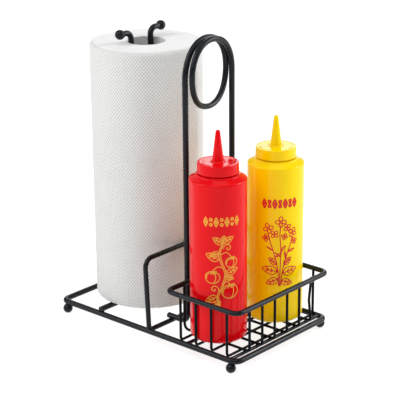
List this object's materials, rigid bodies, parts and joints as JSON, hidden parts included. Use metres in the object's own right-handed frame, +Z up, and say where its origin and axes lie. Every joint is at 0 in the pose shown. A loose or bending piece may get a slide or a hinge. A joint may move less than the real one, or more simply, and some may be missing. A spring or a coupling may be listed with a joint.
{
  "type": "napkin dispenser",
  "caption": "Black wire table caddy: upright paper roll holder with a guard hoop, looped carrying handle and a basket with two squeeze sauce bottles.",
  "frame": {"origin": "centre of the base on the table", "axes": "+X from the roll end to the basket end, +Y from the front rail to the back rail, +Z up"},
  "size_m": [0.2554, 0.157, 0.318],
  "materials": {
    "black_wire": "satin black powder coat",
    "paper": "embossed white tissue paper",
    "cardboard": "spiral-wound light grey cardboard",
    "red_plastic": "glossy red polyethylene",
    "yellow_plastic": "glossy yellow polyethylene",
    "seal": "soft translucent white liner ring"
  },
  "bodies": {
    "wire_frame": {"base_frame": "black_wire", "basket_bar_inner": "black_wire", "basket_bar_outer": "black_wire", "basket_cross_wire_1": "black_wire", "basket_cross_wire_2": "black_wire", "basket_cross_wire_3": "black_wire", "basket_cross_wire_4": "black_wire", "basket_long_wire_1": "black_wire", "basket_long_wire_2": "black_wire", "basket_long_wire_3": "black_wire", "basket_long_wire_4": "black_wire", "basket_long_wire_5": "black_wire", "basket_long_wire_6": "black_wire", "basket_rim": "black_wire", "carrying_handle": "black_wire", "foot_back_left": "black_wire", "foot_back_right": "black_wire", "foot_front_left": "black_wire", "foot_front_right": "black_wire", "handle_bar": "black_wire", "post_back": "black_wire", "post_front": "black_wire", "post_tip_back": "black_wire", "post_tip_front": "black_wire", "roll_bar": "black_wire", "roll_guard_hoop": "black_wire"},
    "towel_roll": {"cardboard_core": "cardboard", "paper_roll": "paper"},
    "ketchup_bottle": {"ketchup_bottle": "red_plastic"},
    "ketchup_cap": {"ketchup_cap": "red_plastic"},
    "ketchup_cap_seal": {"ketchup_cap_seal": "seal"},
    "mustard_bottle": {"mustard_bottle": "yellow_plastic"},
    "mustard_cap": {"mustard_cap": "yellow_plastic"},
    "mustard_cap_seal": {"mustard_cap_seal": "seal"}
  },
  "joints": [
    {"name": "roll_spin", "type": "hinge", "parent": "wire_frame", "child": "towel_roll", "pos_m": [-0.0608, 0, 0.16], "axis": [0, 0, 1], "continuous": true},
    {"name": "ketchup_bottle_lift", "type": "slide", "parent": "wire_frame", "child": "ketchup_bottle", "axis": [0, 0, 1], "range_m": [0, 0.06]},
    {"name": "ketchup_cap_rise", "type": "slide", "parent": "ketchup_bottle", "child": "ketchup_cap_seal", "axis": [0, 0, 1], "range_m": [0, 0.0061]},
    {"name": "ketchup_cap_turn", "type": "hinge", "parent": "ketchup_cap_seal", "child": "ketchup_cap", "pos_m": [0.0718, -0.0393, 0.2], "axis": [0, 0, 1], "range_deg": [0, 540]},
    {"name": "mustard_bottle_lift", "type": "slide", "parent": "wire_frame", "child": "mustard_bottle", "axis": [0, 0, 1], "range_m": [0, 0.06]},
    {"name": "mustard_cap_rise", "type": "slide", "parent": "mustard_bottle", "child": "mustard_cap_seal", "axis": [0, 0, 1], "range_m": [0, 0.0061]},
    {"name": "mustard_cap_turn", "type": "hinge", "parent": "mustard_cap_seal", "child": "mustard_cap", "pos_m": [0.0826, 0.0389, 0.2], "axis": [0, 0, 1], "range_deg": [0, 540]}
  ],
  "couplings": [
    {"joint": "ketchup_cap_rise", "follows": "ketchup_cap_turn", "m_per_rad": 0.00063662},
    {"joint": "mustard_cap_rise", "follows": "mustard_cap_turn", "m_per_rad": 0.00063662}
  ]
}
